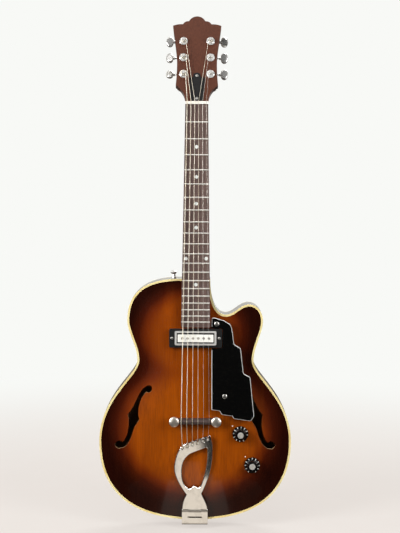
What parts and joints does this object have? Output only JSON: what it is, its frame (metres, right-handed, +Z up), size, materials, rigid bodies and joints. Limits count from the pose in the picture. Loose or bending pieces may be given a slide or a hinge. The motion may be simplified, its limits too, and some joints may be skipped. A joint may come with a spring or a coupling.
{
  "type": "archtop electric guitar",
  "caption": "Thin hollow-body archtop electric guitar with a sunburst top, rounded cutaway, f-holes, neck pickup, stepped pickguard, hinged tailpiece and worm-geared tuners.",
  "frame": {"origin": "where the end pin's axis meets the tail of the rim, halfway through the rim's depth", "axes": "+Z up along the neck, +X towards the treble side, -Y out of the carved top"},
  "size_m": [0.35, 0.1077, 0.934],
  "materials": {
    "sunburst_wood": "gloss lacquered sunburst, amber brown in the middle to near black at the edge",
    "body_wood": "gloss lacquered dark brown",
    "inner_wood": "bare wood",
    "neck_wood": "satin to gloss lacquered brown",
    "rosewood": "oiled, open grain",
    "cream_binding": "aged cream, gloss",
    "bone": "polished white",
    "pearl": "pearly white",
    "fret_wire": "polished nickel wire",
    "chrome": "bright plate",
    "string_steel": "round-wound and plain steel",
    "black_plastic": "gloss black",
    "white_plastic": "white, gloss",
    "screw_steel": "plated steel",
    "coil_wrap": "taped winding",
    "pot_metal": "dull plate",
    "lead_plastic": "black insulation"
  },
  "bodies": {
    "guitar": {"top_plate": "sunburst_wood", "back_plate": "body_wood", "bass_side": "body_wood", "treble_side": "body_wood", "neck_block": "inner_wood", "tail_block": "inner_wood", "linings": "inner_wood", "tone_bars": "inner_wood", "neck": "neck_wood", "fretboard": "rosewood", "bridge_base": "rosewood", "bridge_saddle": "rosewood", "top_binding": "cream_binding", "back_binding": "cream_binding", "nut": "bone", "position_dots": "pearl", "frets": "fret_wire", "tailpiece_harp": "chrome", "tailpiece_hinge_pin": "chrome", "tailpiece_bracket": "chrome", "pickup_cover": "chrome", "strap_buttons": "chrome", "output_jack": "chrome", "tuner_plates": "chrome", "tuner_bushings": "chrome", "string_1": "string_steel", "string_2": "string_steel", "string_3": "string_steel", "string_4": "string_steel", "string_5": "string_steel", "string_6": "string_steel", "pickguard": "black_plastic", "pickup_frame": "black_plastic", "truss_rod_cover": "black_plastic", "pickguard_spacers": "black_plastic", "pickup_insert": "white_plastic", "screws": "screw_steel", "pole_screws": "screw_steel", "truss_rod": "screw_steel", "pickup_coil": "coil_wrap", "pot_casings": "pot_metal", "wiring": "lead_plastic"},
    "tuner_1_key": {"tuner_key_1": "chrome"},
    "tuner_1_post": {"tuner_post_1": "chrome"},
    "tuner_2_key": {"tuner_key_2": "chrome"},
    "tuner_2_post": {"tuner_post_2": "chrome"},
    "tuner_3_key": {"tuner_key_3": "chrome"},
    "tuner_3_post": {"tuner_post_3": "chrome"},
    "tuner_4_key": {"tuner_key_4": "chrome"},
    "tuner_4_post": {"tuner_post_4": "chrome"},
    "tuner_5_key": {"tuner_key_5": "chrome"},
    "tuner_5_post": {"tuner_post_5": "chrome"},
    "tuner_6_key": {"tuner_key_6": "chrome"},
    "tuner_6_post": {"tuner_post_6": "chrome"},
    "volume_dial": {"volume_knob": "black_plastic", "volume_shaft": "pot_metal"},
    "tone_dial": {"tone_knob": "black_plastic", "tone_shaft": "pot_metal"},
    "bass_screw": {"bass_bridge_screw": "chrome"},
    "treble_screw": {"treble_bridge_screw": "chrome"}
  },
  "joints": [
    {"name": "tuner_1_key_turn", "type": "hinge", "parent": "guitar", "child": "tuner_1_key", "pos_m": [-0.0246, 0.01904, 0.81247], "axis": [1, 0, 0], "continuous": true},
    {"name": "tuner_1_post_turn", "type": "hinge", "parent": "guitar", "child": "tuner_1_post", "pos_m": [-0.0246, 0.0194, 0.80596], "axis": [0, -0.9537, 0.3007], "continuous": true},
    {"name": "tuner_2_key_turn", "type": "hinge", "parent": "guitar", "child": "tuner_2_key", "pos_m": [-0.0246, 0.02857, 0.8427], "axis": [1, 0, 0], "continuous": true},
    {"name": "tuner_2_post_turn", "type": "hinge", "parent": "guitar", "child": "tuner_2_post", "pos_m": [-0.0246, 0.02893, 0.83619], "axis": [0, -0.9537, 0.3007], "continuous": true},
    {"name": "tuner_3_key_turn", "type": "hinge", "parent": "guitar", "child": "tuner_3_key", "pos_m": [-0.0246, 0.0381, 0.87294], "axis": [1, 0, 0], "continuous": true},
    {"name": "tuner_3_post_turn", "type": "hinge", "parent": "guitar", "child": "tuner_3_post", "pos_m": [-0.0246, 0.03846, 0.86643], "axis": [0, -0.9537, 0.3007], "continuous": true},
    {"name": "tuner_4_key_turn", "type": "hinge", "parent": "guitar", "child": "tuner_4_key", "pos_m": [0.0246, 0.0381, 0.87294], "axis": [1, 0, 0], "continuous": true},
    {"name": "tuner_4_post_turn", "type": "hinge", "parent": "guitar", "child": "tuner_4_post", "pos_m": [0.0246, 0.03846, 0.86643], "axis": [0, -0.9537, 0.3007], "continuous": true},
    {"name": "tuner_5_key_turn", "type": "hinge", "parent": "guitar", "child": "tuner_5_key", "pos_m": [0.0246, 0.02857, 0.8427], "axis": [1, 0, 0], "continuous": true},
    {"name": "tuner_5_post_turn", "type": "hinge", "parent": "guitar", "child": "tuner_5_post", "pos_m": [0.0246, 0.02893, 0.83619], "axis": [0, -0.9537, 0.3007], "continuous": true},
    {"name": "tuner_6_key_turn", "type": "hinge", "parent": "guitar", "child": "tuner_6_key", "pos_m": [0.0246, 0.01904, 0.81247], "axis": [1, 0, 0], "continuous": true},
    {"name": "tuner_6_post_turn", "type": "hinge", "parent": "guitar", "child": "tuner_6_post", "pos_m": [0.0246, 0.0194, 0.80596], "axis": [0, -0.9537, 0.3007], "continuous": true},
    {"name": "volume_turn", "type": "hinge", "parent": "guitar", "child": "volume_dial", "pos_m": [0.0822, -0.045, 0.1624], "axis": [0, -1, 0], "range_deg": [-159, 141]},
    {"name": "tone_turn", "type": "hinge", "parent": "guitar", "child": "tone_dial", "pos_m": [0.104, -0.045, 0.1042], "axis": [0, -1, 0], "range_deg": [-111, 189]},
    {"name": "bass_screw_turn", "type": "hinge", "parent": "guitar", "child": "bass_screw", "pos_m": [-0.038, -0.0544, 0.187], "axis": [0, -0.9981, 0.061], "range_deg": [-180, 180]},
    {"name": "treble_screw_turn", "type": "hinge", "parent": "guitar", "child": "treble_screw", "pos_m": [0.038, -0.0544, 0.187], "axis": [0, -0.9981, 0.061], "range_deg": [-180, 180]}
  ],
  "couplings": [
    {"joint": "tuner_1_post_turn", "follows": "tuner_1_key_turn", "ratio": 0.071429},
    {"joint": "tuner_2_post_turn", "follows": "tuner_2_key_turn", "ratio": 0.071429},
    {"joint": "tuner_3_post_turn", "follows": "tuner_3_key_turn", "ratio": 0.071429},
    {"joint": "tuner_4_post_turn", "follows": "tuner_4_key_turn", "ratio": 0.071429},
    {"joint": "tuner_5_post_turn", "follows": "tuner_5_key_turn", "ratio": 0.071429},
    {"joint": "tuner_6_post_turn", "follows": "tuner_6_key_turn", "ratio": 0.071429}
  ]
}
